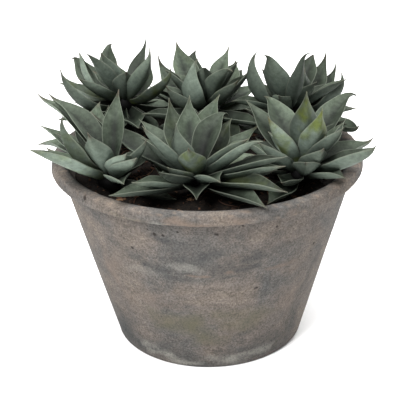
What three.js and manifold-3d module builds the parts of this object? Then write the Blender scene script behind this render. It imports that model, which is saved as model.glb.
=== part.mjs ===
// A potted houseleek: a tapered terracotta pot with a raised rim band, filled with soil,
// and six rosettes of pointed, channelled leaves, each on its own short stem in the soil.
// Millimetres, +Z up. The origin is the middle of the pot's foot, and -Y is the front.
import * as THREE from "three";
import { mergeVertices } from "three/addons/utils/BufferGeometryUtils.js";
import Module from "manifold-3d";

// Pot
const POT_HEIGHT = 171.5;
const FOOT_RADIUS = 85.4;
const FOOT_ROUND = 3;
const NECK_RADIUS = 128.4; // of the wall, just under the band
const BAND_RADIUS = 137; // of the band, at its lower edge
const RIM_RADIUS = 136; // of the band, at its top
const BAND_HEIGHT = 10;
const BAND_ROUND = 2.2;
const WALL = 9;
const FLOOR = 12;
const CORNER_RADIUS = 8; // where the inner wall meets the floor
const SIDES = 60; // round the pot and the soil

// Soil
const GAP = 0.3; // between touching pieces
const SOIL_EDGE_HEIGHT = 153.5; // where the soil meets the wall
const SOIL_DOME = 7; // how much higher its middle is
const SOIL_RINGS = 5;

// Stems and the cores that the leaves grow from
const STEM_RADIUS = 5.5;
const STEM_SIDES = 10;
const STEM_SUNK = 30; // below the soil's surface
const STEM_LEAN = 0.86; // how far out its foot is, as a share of its rosette's way out
const CORE_PROFILE = [
  [0, -6],
  [8, -6],
  [12, -2],
  [13, 3],
  [10, 9],
  [5, 13],
  [0, 14],
]; // radius and height about the point where a rosette's leaves meet
const SLIVER = 0.03; // bends less than this are smoothed out of the joined blades
const CORE_SIDES = 12;
const CORE_MIDDLE = new THREE.Vector3(0, 0, 6);

// Leaves
const GOLDEN_ANGLE = 137.508;
const LEAF_WIDTH = 25; // of a leaf as long as USUAL_LENGTH
const USUAL_LENGTH = 80;
const LENGTH_POWER = 0.2; // how a blade's width grows with its length
const ROOT_FLARE = 0.4; // how much wider a blade's root is than a plain bow, as a share
const WIDEST_POWER = 1.15; // moves the widest place towards the tip
const DRAWN_FROM = 0.58; // the share of the length where the drawn-out point begins
const DRAWN_OUT = 0.75; // how much it narrows there, as a share
const DRAWN_POWER = 1.2; // how late it narrows
const PEAK = 1.03; // the outline's greatest value, taken out again
const ROOT_RADIUS = [5.5, 1.5]; // of a level leaf's root about the stem, and of an upright one's
const ROOT_HEIGHT = [-2, 12];
const STEPS = 24; // along a leaf's centre line
const RINGS = [0, 7, 14, 20]; // steps that carry a cross-section
const ACROSS = [-1, -0.5, 0, 0.5, 1]; // edge, middle, edge
const THICK_ROOT = 2.8;
const THICK_TIP = 1.2;
const FOLD_ROOT = 36; // how steeply each half of a blade stands up, in degrees
const FOLD_EASE = 15; // how much less it is at mid-length

// Room that leaves keep
const CLEAR_OTHERS = 5.2; // between the mid-planes of blades on different rosettes
const CLEAR_OWN = 2.6; // between outer halves of blades on one rosette
const OWN_FROM = 12; // the step where the outer half begins
const CLEAR_SOIL = 4;
const CLEAR_RIM = 3.2;
const CLEAR_CORE = 18; // from the middle of another rosette's core
const CLEAR_STEM = 10; // from the middle of another rosette's stem
const REACH = 156; // how far a tip may stand out from the pot's axis, sideways or back
const BENDS = [
  [0, 0],
  [0, 3],
  [4, 0],
  [-4, 0],
  [0, -3],
  [4, 3],
  [-4, 3],
  [0, 6],
  [8, 0],
  [-8, 0],
  [8, 4],
  [-8, 4],
  [0, -6],
  [0, 10],
  [12, 4],
  [-12, 4],
  [0, 14],
]; // changes of turn and rise tried in order, in degrees, until a leaf is clear
const SPIRAL_LEAVES = 21; // tried on each rosette
const SPIRAL_SPREAD = 17; // degrees kept between directions of leaves
const SPIRAL_RISE = [-12, 52]; // of the lowest leaf and of the highest
const SPIRAL_LENGTH = [62, 52]; // of the lowest leaf and of the highest
const SPIRAL_STRAY = 4; // degrees that a leaf strays up or down
const SPIRAL_GROWN = [0.92, 1.06]; // how far a leaf's length differs, as a share
const SPIRAL_CURL = [0, 45];
const SPIRAL_HOOK = [-35, 15];
const SPIRAL_SWEEP = [-24, 24];
const BACK_SHORTER = 0.4; // how much shorter a leaf that points straight back is
const SEED = 5;

// Each rosette: where its leaves meet, and the leaves that give it its own look, as
// [turn, rise, length, curl, hook, sweep, width]. Turn is anticlockwise from +X, rise is above
// level, curl bends the whole leaf upwards, hook its last quarter, and sweep bends the whole
// leaf to its left, in degrees. Width is a share of the usual.
const ROSETTES = [
  {
    name: "rosette_front",
    at: [-9, -64, 169],
    leaves: [
      [270, 10, 50, -20, 0, 0, 1],
      [220, 10, 85, 10, 0, 0, 1],
      [305, 8, 90, 0, -10, 0, 1],
      [313, 13, 100, -10, 0, 0, 1],
      [225, 18, 70, 20, 0, 0, 1],
      [240, 25, 60, 30, 0, 0, 1],
      [290, 20, 55, -10, -20, 0, 1],
      [150, 22, 110, 20, 20, 0, 1],
      [240, 30, 50, 30, 0, 0, 1],
      [263, 46, 60, 20, 0, 0, 1],
      [210, 50, 70, 20, 0, 0, 1],
      [130, 25, 80, 10, -10, 0, 1],
      [110, 35, 80, 30, 0, -20, 1],
      [235, 65, 60, 60, 10, 0, 1],
      [95, 40, 75, 10, 0, -20, 1],
      [75, 32, 90, 0, -10, -20, 1],
      [65, 30, 75, 10, -10, 0, 1],
      [60, 40, 70, -60, -70, -20, 1],
      [50, 20, 85, 10, 0, 0, 1],
      [325, 43, 65, -10, 0, 0, 1],
      [330, 40, 75, 10, -40, 0, 1],
      [330, 25, 86, 0, 0, 0, 1],
      [320, 16, 80, 0, 0, 0, 1],
      [5, 0, 60, 20, 0, 0, 1],
      [345, 15, 65, 20, 0, 0, 1],
      [90, 10, 60, 20, 0, 0, 1],
    ],
  },
  {
    name: "rosette_left",
    at: [-80, -58, 169],
    leaves: [
      [255, 51, 70, 20, 0, 0, 1],
      [220, 55, 80, 70, 30, 0, 1],
      [142, 33, 100, -60, 50, 20, 0.9],
      [140, 38, 92, -60, 50, 20, 0.9],
      [140, 20, 87, -10, -10, 0, 0.7],
      [142, 13, 86, -30, -20, 35, 1.1],
      [225, 33, 90, 10, -10, 0, 1.1],
      [226, 31, 78, 20, 20, -40, 1.1],
      [120, 35, 75, 20, 0, 0, 1],
      [100, 28, 90, 10, -30, -40, 1],
      [95, 20, 95, 10, 0, -10, 1],
      [290, 40, 60, 10, 0, 0, 1],
      [300, 35, 65, 10, 0, 0, 1],
      [335, -5, 55, 20, 0, 0, 1],
      [60, 10, 60, 20, 0, 0, 1],
      [285, 20, 55, -20, 0, 0, 1],
      [80, 60, 70, -30, 0, 0, 0.8],
    ],
  },
  {
    name: "rosette_right",
    at: [79, -50, 168],
    leaves: [
      [30, 10, 75, -10, 60, -20, 1.1],
      [304, 30, 100, 20, 20, -30, 1.1],
      [125, 31, 85, 10, -10, 0, 1],
      [225, 55, 70, 20, 0, 0, 1],
      [110, 27, 90, -40, -20, 0, 1],
      [270, 70, 80, 20, 0, 0, 1],
      [75, 30, 65, 10, 0, 0, 1],
      [288, 61, 75, 30, 0, 0, 1],
      [52, 31, 100, -30, -70, -10, 1],
      [40, 35, 60, -10, -20, 30, 1.1],
      [285, 40, 60, 20, 0, 0, 1],
      [305, 45, 70, 10, 0, 0, 1],
      [245, 15, 45, 30, 0, 0, 1],
      [220, 40, 60, 20, 0, 0, 1],
      [155, 10, 55, 30, 0, 0, 1],
      [130, 15, 55, 30, 0, 0, 1],
      [235, -5, 50, 20, 0, 0, 1],
    ],
  },
  {
    name: "rosette_back_middle",
    at: [0, 64, 186],
    leaves: [
      [110, 28, 90, 10, 0, -20, 1],
      [92, 22, 90, 0, -10, -50, 0.9],
      [238, 70, 75, 170, 0, -20, 1],
      [300, 50, 65, -20, -60, 0, 1],
      [268, 62, 52, 10, -60, 20, 1],
      [73, 24, 85, -20, 40, 0, 0.7],
      [66, 25, 75, -10, 40, 20, 1.1],
      [64, 13, 80, 0, -20, 20, 1],
      [230, 35, 65, 60, 0, 0, 1],
      [115, 20, 60, 20, 0, -20, 1],
      [119, 14, 104, 50, 50, 0, 1.1],
      [50, 5, 80, 20, 0, 0, 1],
      [305, 40, 60, 30, 0, 0, 1],
      [260, -15, 60, 20, 0, 0, 1],
      [205, -20, 65, 10, 0, 0, 1],
      [230, -5, 60, 20, 0, 0, 1],
      [300, -10, 60, 20, 0, 0, 1],
      [320, 0, 60, 20, 0, 0, 1],
      [335, -15, 65, 10, 0, 0, 1],
    ],
  },
  {
    name: "rosette_back_left",
    at: [-77, 74, 190],
    leaves: [
      [220, 35, 90, 100, 0, -20, 1.1],
      [135, 6, 100, 60, 50, 0, 1.1],
      [230, 35, 65, 20, 0, 0, 1],
      [185, 55, 65, 100, -40, 0, 1],
      [125, 18, 100, 45, -80, -15, 1.1],
      [233, 53, 70, 10, -20, 0, 1],
      [235, 63, 58, 20, -20, 0, 1],
      [101, 26, 90, 0, -60, -50, 0.7],
      [103, 17, 65, 10, 0, 0, 1],
      [79, 19, 102, 20, 50, -10, 0.6],
      [302, 48, 85, 40, 40, 10, 0.9],
      [68, 12, 88, 40, 20, 10, 0.9],
      [320, 36, 76, 60, 30, 0, 1],
      [70, 0, 105, 40, 0, 60, 1.1],
      [260, -10, 60, 20, 0, 0, 1],
      [235, -5, 65, 20, 0, 0, 1.1],
      [285, -5, 60, 20, 0, 0, 1],
      [305, -15, 60, 20, 0, 0, 1],
      [230, 10, 60, 40, 0, 0, 1.1],
    ],
  },
  {
    name: "rosette_back_right",
    at: [79, 62, 184],
    leaves: [
      [210, 59, 83, 130, 40, 30, 1.1],
      [240, 55, 85, 40, -70, 0, 1.1],
      [280, 53, 100, 60, -80, 40, 0.6],
      [60, 25, 85, 60, 30, 10, 1],
      [69, 27, 79, 0, -40, 10, 0.9],
      [53, 16, 85, 50, 60, 10, 1],
      [330, 40, 70, 100, 50, -50, 1.1],
      [290, 60, 50, 40, 20, 0, 1],
      [100, 22, 70, 20, 0, 0, 0.7],
      [92, 14, 55, 0, 0, 0, 1],
      [310, 5, 85, 40, 40, -50, 1.1],
      [255, -15, 60, 20, 0, 0, 1],
      [290, -10, 60, 20, 0, 0, 1],
      [315, 5, 60, 20, 0, 0, 1],
    ],
  },
];

const wasm = await Module();
wasm.setup();

const radians = THREE.MathUtils.degToRad;
const mix = (ends, share) => ends[0] + (ends[1] - ends[0]) * share;

// A closed geometry as a solid that can be joined and cut.
function solidOf(geometry) {
  const bare = geometry.clone();
  bare.deleteAttribute("normal");
  bare.deleteAttribute("uv");
  const merged = mergeVertices(bare, 1e-4);
  return new wasm.Manifold(
    new wasm.Mesh({
      numProp: 3,
      vertProperties: new Float32Array(merged.attributes.position.array),
      triVerts: new Uint32Array(merged.index.array),
    }),
  );
}

function geometryOf(solid) {
  const mesh = solid.getMesh();
  const geometry = new THREE.BufferGeometry();
  geometry.setAttribute("position", new THREE.BufferAttribute(mesh.vertProperties, 3));
  geometry.setIndex(new THREE.BufferAttribute(mesh.triVerts, 1));
  geometry.computeVertexNormals();
  return geometry;
}

// A profile of [radius, height] points turned about the vertical axis.
function turned(profile, sides) {
  const points = profile.map(([radius, height]) => new THREE.Vector2(radius, height));
  return new THREE.LatheGeometry(points, sides).rotateX(Math.PI / 2);
}

// Points of an arc in a profile, between two angles in degrees.
function arc(radius, height, size, from, to, count) {
  return Array.from({ length: count + 1 }, (_, i) => {
    const angle = radians(from + ((to - from) * i) / count);
    return [radius + size * Math.cos(angle), height + size * Math.sin(angle)];
  });
}

// The pot: straight tapered wall, raised band at the rim, thick floor, no hole in it.
const BAND_FOOT = POT_HEIGHT - BAND_HEIGHT;
const WALL_SLOPE = (NECK_RADIUS - FOOT_RADIUS) / BAND_FOOT;
const innerRadius = (height) => FOOT_RADIUS - WALL + WALL_SLOPE * height;
const CORNER_HEIGHT = FLOOR + CORNER_RADIUS;
const innerCorner = (size) =>
  arc(innerRadius(CORNER_HEIGHT) - CORNER_RADIUS, CORNER_HEIGHT, size, -90, 0, 3);

function potGeometry() {
  const lip = (RIM_RADIUS - innerRadius(POT_HEIGHT)) / 2;
  const profile = [
    [0, 0],
    ...arc(FOOT_RADIUS - FOOT_ROUND, FOOT_ROUND, FOOT_ROUND, -90, 0, 2),
    [NECK_RADIUS, BAND_FOOT - 1],
    [NECK_RADIUS + 1, BAND_FOOT],
    ...arc(BAND_RADIUS - BAND_ROUND, BAND_FOOT + BAND_ROUND, BAND_ROUND, -90, 10, 3),
    ...arc(RIM_RADIUS - BAND_ROUND, POT_HEIGHT - BAND_ROUND, BAND_ROUND, 0, 90, 2),
    ...arc(innerRadius(POT_HEIGHT) + lip, POT_HEIGHT - lip, lip, 90, 180, 3),
    ...innerCorner(CORNER_RADIUS).reverse(),
    [0, FLOOR],
  ];
  return turned(profile, SIDES);
}

// The soil: domed, with low clods. It fills the pot to SOIL_EDGE_HEIGHT.
const SOIL_RADIUS = innerRadius(SOIL_EDGE_HEIGHT) - GAP;

function soilHeight(x, y) {
  const share = Math.min(1, (x * x + y * y) / (SOIL_RADIUS * SOIL_RADIUS));
  const clods = 1.3 * Math.sin(x / 9 + 1) * Math.cos(y / 11) + 0.9 * Math.sin(x / 5 + y / 6);
  return SOIL_EDGE_HEIGHT + SOIL_DOME * (1 - share) + clods * (1 - share ** 3);
}

function soilGeometry() {
  const vertices = [0, 0, FLOOR + GAP];
  const triangles = [];
  const rings = [];
  for (const [radius, height] of innerCorner(CORNER_RADIUS - GAP)) rings.push({ radius, height });
  for (let k = SOIL_RINGS; k > 0; k--) rings.push({ radius: (SOIL_RADIUS * k) / SOIL_RINGS });
  for (const { radius, height } of rings) {
    for (let i = 0; i < SIDES; i++) {
      const angle = (2 * Math.PI * i) / SIDES;
      const x = radius * Math.cos(angle);
      const y = radius * Math.sin(angle);
      vertices.push(x, y, height ?? soilHeight(x, y));
    }
  }
  vertices.push(0, 0, soilHeight(0, 0));
  const at = (k, i) => 1 + k * SIDES + (i % SIDES);
  const last = rings.length - 1;
  const top = 1 + rings.length * SIDES;
  for (let i = 0; i < SIDES; i++) {
    triangles.push(0, at(0, i + 1), at(0, i));
    for (let k = 0; k < last; k++) {
      triangles.push(at(k, i), at(k, i + 1), at(k + 1, i + 1));
      triangles.push(at(k, i), at(k + 1, i + 1), at(k + 1, i));
    }
    triangles.push(at(last, i), at(last, i + 1), top);
  }
  const geometry = new THREE.BufferGeometry();
  geometry.setAttribute("position", new THREE.Float32BufferAttribute(vertices, 3));
  geometry.setIndex(triangles);
  return geometry;
}

// The middle line of a stem, from its foot in the soil up to its rosette.
function stemLine([x, y, z]) {
  const [footX, footY] = [STEM_LEAN * x, STEM_LEAN * y];
  const foot = new THREE.Vector3(footX, footY, soilHeight(footX, footY) - STEM_SUNK);
  return new THREE.Line3(foot, new THREE.Vector3(x, y, z));
}

// A stem's round rod. With some room added it is the hole that the stem stands in.
function rodGeometry(at, room) {
  const { start: foot, end: top } = stemLine(at);
  foot.z -= room;
  const length = foot.distanceTo(top);
  const up = top.clone().sub(foot).normalize();
  const lean = new THREE.Quaternion().setFromUnitVectors(new THREE.Vector3(0, 1, 0), up);
  const radius = STEM_RADIUS + room;
  return new THREE.CylinderGeometry(radius, radius, length, STEM_SIDES)
    .applyQuaternion(lean)
    .translate(...foot.add(top).multiplyScalar(0.5));
}

// Half the width of a blade at a share of its length: widest near the middle, drawn out
// to a fine point.
function halfWidth(share, length, width) {
  const outline = ROOT_FLARE * (1 - share) ** 3 + Math.sin(Math.PI * share ** WIDEST_POWER);
  const past = Math.max(0, share - DRAWN_FROM) / (1 - DRAWN_FROM);
  const drawnOut = 1 - DRAWN_OUT * past ** DRAWN_POWER;
  const widest = width * (LEAF_WIDTH / 2) * (length / USUAL_LENGTH) ** LENGTH_POWER;
  return Math.max(0, (widest * outline * drawnOut) / PEAK);
}

// A way in space, from its turn about the vertical and its rise above level.
const direction = (turn, rise) =>
  new THREE.Vector3(
    Math.cos(radians(rise)) * Math.cos(radians(turn)),
    Math.cos(radians(rise)) * Math.sin(radians(turn)),
    Math.sin(radians(rise)),
  );

// A leaf: its centre line with the directions across and out of its upper face.
function makeLeaf(at, turn, rise, length, curl, hook, sweep, width) {
  const upright = Math.min(1, Math.max(0, rise / 90));
  const point = new THREE.Vector3(...at);
  point.addScaledVector(direction(turn, 0), mix(ROOT_RADIUS, upright));
  point.z += mix(ROOT_HEIGHT, upright);
  const stations = [];
  for (let step = 0; step <= STEPS; step++) {
    const share = (Math.min(step, STEPS - 1) + 0.5) / STEPS;
    const tipShare = Math.max(0, share - 0.75) * 4;
    const facing = turn + sweep * (share - 0.5);
    const along = direction(facing, rise + curl * (share - 0.5) + hook * tipShare ** 2);
    const sideways = direction(facing + 90, 0);
    const normal = new THREE.Vector3().crossVectors(along, sideways);
    const half = halfWidth(step / STEPS, length, width);
    stations.push({ point: point.clone(), sideways, normal, half });
    point.addScaledVector(along, length / STEPS);
  }
  return { turn, rise, stations };
}

// A point of a blade's mid-plane: across runs from -1 at one edge to 1 at the other.
function bladePoint(leaf, step, across) {
  const { point, sideways, normal, half } = leaf.stations[step];
  const share = step / STEPS;
  const fold = radians(FOLD_ROOT - FOLD_EASE * Math.sin(Math.PI * Math.min(1, share * 1.1)));
  return point
    .clone()
    .addScaledVector(sideways, across * half * Math.cos(fold))
    .addScaledVector(normal, Math.abs(across) ** 1.6 * half * Math.sin(fold));
}

// A blade's solid: cross-sections of edge, ridge, edge and keel, closed to a point.
function bladeSolid(leaf) {
  const vertices = [];
  const triangles = [];
  for (const step of RINGS) {
    const share = step / STEPS;
    const thick = mix([THICK_ROOT, THICK_TIP], share);
    const middle = leaf.stations[step].point;
    const keel = middle.clone().addScaledVector(leaf.stations[step].normal, -thick);
    for (const p of [bladePoint(leaf, step, -1), middle, bladePoint(leaf, step, 1), keel]) {
      vertices.push(p.x, p.y, p.z);
    }
  }
  const tip = leaf.stations[STEPS].point;
  vertices.push(tip.x, tip.y, tip.z);
  const tipIndex = 4 * RINGS.length;
  triangles.push(0, 1, 2, 0, 2, 3);
  for (let k = 0; k < RINGS.length - 1; k++) {
    const [a, b] = [4 * k, 4 * k + 4];
    // Both faces of each half are split from edge to middle, the same way.
    triangles.push(a, b + 1, a + 1, a, b, b + 1);
    triangles.push(a + 2, a + 1, b + 1, a + 2, b + 1, b + 2);
    triangles.push(a + 2, b + 3, a + 3, a + 2, b + 2, b + 3);
    triangles.push(a, a + 3, b + 3, a, b + 3, b);
  }
  const last = 4 * (RINGS.length - 1);
  for (let i = 0; i < 4; i++) triangles.push(last + i, tipIndex, last + ((i + 1) % 4));
  const geometry = new THREE.BufferGeometry();
  geometry.setAttribute("position", new THREE.Float32BufferAttribute(vertices, 3));
  geometry.setIndex(triangles);
  return solidOf(geometry);
}

// The same run of numbers for the same seed.
let drawn = SEED;
function draw(low, high) {
  drawn = (drawn * 16807) % 2147483647;
  return low + ((high - low) * drawn) / 2147483647;
}

function gridOf(leaf) {
  const points = [];
  for (let step = 0; step <= STEPS; step++) {
    for (const across of ACROSS) points.push(bladePoint(leaf, step, across));
  }
  return points;
}

function anyNear(points, others, gap) {
  return points.some((p) => others.some((q) => p.distanceToSquared(q) < gap * gap));
}

// Whether a leaf has room: over soil and rim, within reach, and between the other leaves.
function hasRoom(rosette, leaf, placed, reach) {
  for (const p of leaf.grid) {
    const radius = Math.hypot(p.x, p.y);
    const overRim = radius > SOIL_RADIUS - CLEAR_SOIL;
    const floor = overRim ? POT_HEIGHT + CLEAR_RIM : soilHeight(p.x, p.y) + CLEAR_SOIL;
    if (p.z < floor) return false;
    if (Math.abs(p.x) > reach || Math.abs(p.y) > reach) return false;
  }
  for (const other of ROSETTES) {
    if (other === rosette) continue;
    const core = new THREE.Vector3(...other.at).add(CORE_MIDDLE);
    const stem = stemLine(other.at);
    const foot = new THREE.Vector3();
    for (const p of leaf.grid) {
      if (p.distanceTo(core) < CLEAR_CORE) return false;
      if (p.distanceTo(stem.closestPointToPoint(p, true, foot)) < CLEAR_STEM) return false;
    }
  }
  const outer = leaf.grid.slice(OWN_FROM * ACROSS.length);
  for (const other of placed) {
    const apart = leaf.ball.center.distanceTo(other.leaf.ball.center);
    if (apart > leaf.ball.radius + other.leaf.ball.radius + CLEAR_OTHERS) continue;
    if (other.rosette === rosette) {
      const otherOuter = other.leaf.grid.slice(OWN_FROM * ACROSS.length);
      if (anyNear(outer, otherOuter, CLEAR_OWN)) return false;
    } else if (anyNear(leaf.grid, other.leaf.grid, CLEAR_OTHERS)) return false;
  }
  return true;
}

// Puts a leaf where it is wanted, or bent a little until it is clear, or not at all.
function place(rosette, placed, [turn, rise, ...shape], reach) {
  for (const [moreTurn, moreRise] of BENDS) {
    const leaf = makeLeaf(rosette.at, turn + moreTurn, rise + moreRise, ...shape);
    leaf.grid = gridOf(leaf);
    leaf.ball = new THREE.Sphere().setFromPoints(leaf.grid);
    if (hasRoom(rosette, leaf, placed, reach)) {
      placed.push({ rosette, leaf });
      return;
    }
  }
}

// First the leaves set by hand, then a golden-angle spiral of short leaves that fills what
// is left, from drooping ones at the bottom to half upright ones. The heart stays open.
function placeLeaves() {
  const placed = [];
  for (const rosette of ROSETTES) {
    for (const leaf of rosette.leaves) place(rosette, placed, leaf, Infinity);
  }
  const starts = ROSETTES.map(() => draw(0, 360));
  for (let i = 0; i < SPIRAL_LEAVES; i++) {
    const share = (i + 0.5) / SPIRAL_LEAVES;
    ROSETTES.forEach((rosette, which) => {
      const turn = (starts[which] + i * GOLDEN_ANGLE) % 360;
      const rise = mix(SPIRAL_RISE, share) + draw(-SPIRAL_STRAY, SPIRAL_STRAY);
      const shaded = Math.max(0, Math.sin(radians(turn)));
      const full = mix(SPIRAL_LENGTH, share ** 2) * (1 - BACK_SHORTER * shaded);
      const length = full * draw(...SPIRAL_GROWN);
      const curl = draw(...SPIRAL_CURL);
      const hook = draw(...SPIRAL_HOOK);
      const sweep = draw(...SPIRAL_SWEEP);
      const way = direction(turn, rise);
      const near = Math.cos(radians(SPIRAL_SPREAD));
      const taken = placed.some(
        (p) => p.rosette === rosette && way.dot(direction(p.leaf.turn, p.leaf.rise)) > near,
      );
      const leaf = [turn, rise, length, curl, hook, sweep, 1];
      if (!taken) place(rosette, placed, leaf, REACH);
    });
  }
  return placed;
}

function rosetteGeometry(rosette, placed) {
  const core = turned(CORE_PROFILE, CORE_SIDES).translate(...rosette.at);
  let solid = solidOf(core).add(solidOf(rodGeometry(rosette.at, 0)));
  for (const { rosette: owner, leaf } of placed) {
    if (owner === rosette) solid = solid.add(bladeSolid(leaf));
  }
  // Where blades meet round the core they close off small hollows: those are filled.
  const shells = solid.simplify(SLIVER).decompose();
  return geometryOf(shells.reduce((a, b) => (a.volume() > b.volume() ? a : b)));
}

function soilWithHoles() {
  let solid = solidOf(soilGeometry());
  for (const { at } of ROSETTES) solid = solid.subtract(solidOf(rodGeometry(at, GAP)));
  return geometryOf(solid);
}

const terracotta = new THREE.MeshStandardMaterial({ color: "#857a72", roughness: 0.95 });
const soil = new THREE.MeshStandardMaterial({ color: "#241d18", roughness: 1 });

const plant = new THREE.Group();

function addPiece(name, geometry, material) {
  const mesh = new THREE.Mesh(geometry, material);
  mesh.name = name;
  plant.add(mesh);
}

addPiece("pot", potGeometry(), terracotta);
addPiece("soil", soilWithHoles(), soil);
const leaves = placeLeaves();
for (const rosette of ROSETTES) {
  const green = new THREE.MeshStandardMaterial({ color: "#6b7c70", roughness: 0.6 });
  addPiece(rosette.name, rosetteGeometry(rosette, leaves), green);
}

export default plant;
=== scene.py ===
# A potted houseleek: a tapered terracotta pot with a raised rim band, filled with soil, and
# six rosettes of pointed, channelled leaves. Sizes are in millimetres, as in the part, and MM
# turns them to metres where a mesh is made. -Y is the front.
import math
import random

import bpy
import numpy as np
from mathutils import Matrix, Vector, noise


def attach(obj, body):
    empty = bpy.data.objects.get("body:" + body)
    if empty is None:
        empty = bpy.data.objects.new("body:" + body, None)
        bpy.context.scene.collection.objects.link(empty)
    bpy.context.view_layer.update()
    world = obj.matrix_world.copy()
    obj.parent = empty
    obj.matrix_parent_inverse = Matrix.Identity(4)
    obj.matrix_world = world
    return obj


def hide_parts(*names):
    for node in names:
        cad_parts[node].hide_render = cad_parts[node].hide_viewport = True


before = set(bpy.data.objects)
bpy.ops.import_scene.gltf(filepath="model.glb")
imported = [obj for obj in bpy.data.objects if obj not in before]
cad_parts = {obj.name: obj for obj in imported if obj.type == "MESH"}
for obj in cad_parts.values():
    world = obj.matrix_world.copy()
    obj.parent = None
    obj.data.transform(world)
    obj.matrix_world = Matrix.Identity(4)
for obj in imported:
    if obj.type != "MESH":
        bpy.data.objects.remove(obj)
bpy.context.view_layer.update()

bpy.ops.object.select_all(action="DESELECT")
MM = 0.001

# Pot
# One piece of coarse red clay, thrown on a wheel with a raised band at its rim, fired, and
# then weathered for years: grey and bloomed with salts, darker at the foot, with the clay's
# own colour where it was rubbed. Straight tapered wall, thick floor.
POT_HEIGHT = 171.5
FOOT_RADIUS = 85.4
FOOT_ROUND = 3
NECK_RADIUS = 128.4
BAND_RADIUS = 137
RIM_RADIUS = 136
BAND_HEIGHT = 10
BAND_ROUND = 2.2
WALL = 9
FLOOR = 12
CORNER_RADIUS = 8
POT_SIDES = 320
POT_STEP = 1.3  # between rings of the outer wall
BAND_FOOT = POT_HEIGHT - BAND_HEIGHT
WALL_SLOPE = (NECK_RADIUS - FOOT_RADIUS) / BAND_FOOT


def linear(colour):
    """An sRGB hex colour as linear red, green, blue and alpha."""
    parts = [int(colour[i : i + 2], 16) / 255 for i in (1, 3, 5)]
    return [p / 12.92 if p <= 0.04045 else ((p + 0.055) / 1.055) ** 2.4 for p in parts] + [1.0]


def new_material(name):
    """An empty material, and its output node."""
    material = bpy.data.materials.new(name)
    material.use_nodes = True
    material.node_tree.nodes.clear()
    return material, add(material, "OutputMaterial")


def add(material, kind, links=None, stops=None, **settings):
    """Adds one node. links gives its sockets values or other nodes' outputs, stops a ramp's colours."""
    node = material.node_tree.nodes.new("ShaderNode" + kind)
    for name, value in settings.items():
        setattr(node, name, value)
    for socket, value in (links or {}).items():
        if isinstance(value, bpy.types.NodeSocket):
            material.node_tree.links.new(value, node.inputs[socket])
        else:
            node.inputs[socket].default_value = linear(value) if isinstance(value, str) else value
    if stops:
        ramp = node.color_ramp
        while len(ramp.elements) < len(stops):
            ramp.elements.new(0.5)
        for element, (place, colour) in zip(ramp.elements, stops):
            element.position = place
            element.color = linear(colour) if isinstance(colour, str) else [colour] * 3 + [1.0]
    return node


def per(size):
    """A pattern's scale on Object coordinates, from the size of one of its marks."""
    return 1 / (size * MM)


def arc(radius, height, size, start, end, count):
    """Points of an arc in a profile, between two angles in degrees."""
    angles = np.radians(np.linspace(start, end, count + 1))
    return [(radius + size * math.cos(a), height + size * math.sin(a)) for a in angles]


def inner_radius(height):
    return FOOT_RADIUS - WALL + WALL_SLOPE * height


def spaced(profile, step):
    """The same profile with points about step apart."""
    points = [profile[0]]
    for a, b in zip(profile, profile[1:]):
        count = max(1, round(math.dist(a, b) / step))
        points += [(a[0] + (b[0] - a[0]) * i / count, a[1] + (b[1] - a[1]) * i / count)
                   for i in range(1, count + 1)]
    return points


def turned(name, profile, sides):
    """A profile of radius and height, from axis to axis, turned into a closed shape."""
    mesh = bpy.data.meshes.new(name)
    points = [(radius * MM, 0, height * MM) for radius, height in profile]
    mesh.from_pydata(points, [(i, i + 1) for i in range(len(points) - 1)], [])
    piece = bpy.data.objects.new(name, mesh)
    bpy.context.collection.objects.link(piece)
    bpy.context.view_layer.objects.active = piece
    piece.select_set(True)
    bpy.ops.object.mode_set(mode="EDIT")
    bpy.ops.mesh.select_all(action="SELECT")
    bpy.ops.mesh.spin(steps=sides, angle=2 * math.pi, center=(0, 0, 0), axis=(0, 0, 1))
    bpy.ops.mesh.select_all(action="SELECT")
    bpy.ops.mesh.remove_doubles(threshold=0.01 * MM)
    bpy.ops.mesh.normals_make_consistent(inside=False)
    bpy.ops.object.mode_set(mode="OBJECT")
    piece.select_set(False)
    mesh.shade_smooth()
    return piece


def points_of(piece):
    """A piece's points in millimetres."""
    flat = np.empty(3 * len(piece.data.vertices))
    piece.data.vertices.foreach_get("co", flat)
    return flat.reshape(-1, 3) / MM


def move_points(piece, points):
    piece.data.vertices.foreach_set("co", (points * MM).ravel())
    piece.data.update()


def mark_points(piece, name, values):
    """Keeps one number per point with a mesh, for its material to read."""
    attribute = piece.data.attributes.new(name, "FLOAT", "POINT")
    attribute.data.foreach_set("value", np.asarray(values, np.float32))


def grain(points, size, seed, octaves=4):
    """Fractal noise between about -1 and 1 at each point, with lumps of the given size."""
    shift = Vector((seed * 7.3, seed * 3.1, seed * 5.7))
    return np.array([noise.fractal(Vector(p) / size + shift, 1.0, 2.0, octaves) for p in points])


lip = (RIM_RADIUS - inner_radius(POT_HEIGHT)) / 2
outside = [
    (0, 0),
    (FOOT_RADIUS - 12, 0),
    *arc(FOOT_RADIUS - FOOT_ROUND, FOOT_ROUND, FOOT_ROUND, -90, 0, 6),
    (NECK_RADIUS, BAND_FOOT - 1),
    (NECK_RADIUS + 1, BAND_FOOT),
    *arc(BAND_RADIUS - BAND_ROUND, BAND_FOOT + BAND_ROUND, BAND_ROUND, -90, 10, 6),
    *arc(RIM_RADIUS - BAND_ROUND, POT_HEIGHT - BAND_ROUND, BAND_ROUND, 0, 90, 6),
]
inside = [
    *arc(inner_radius(POT_HEIGHT) + lip, POT_HEIGHT - lip, lip, 90, 180, 6),
    *arc(inner_radius(FLOOR + CORNER_RADIUS) - CORNER_RADIUS, FLOOR + CORNER_RADIUS,
         CORNER_RADIUS, 0, -90, 6),
    (0, FLOOR),
]
pot = turned("terracotta_pot", spaced(outside, POT_STEP) + spaced(inside, 4 * POT_STEP), POT_SIDES)

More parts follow.
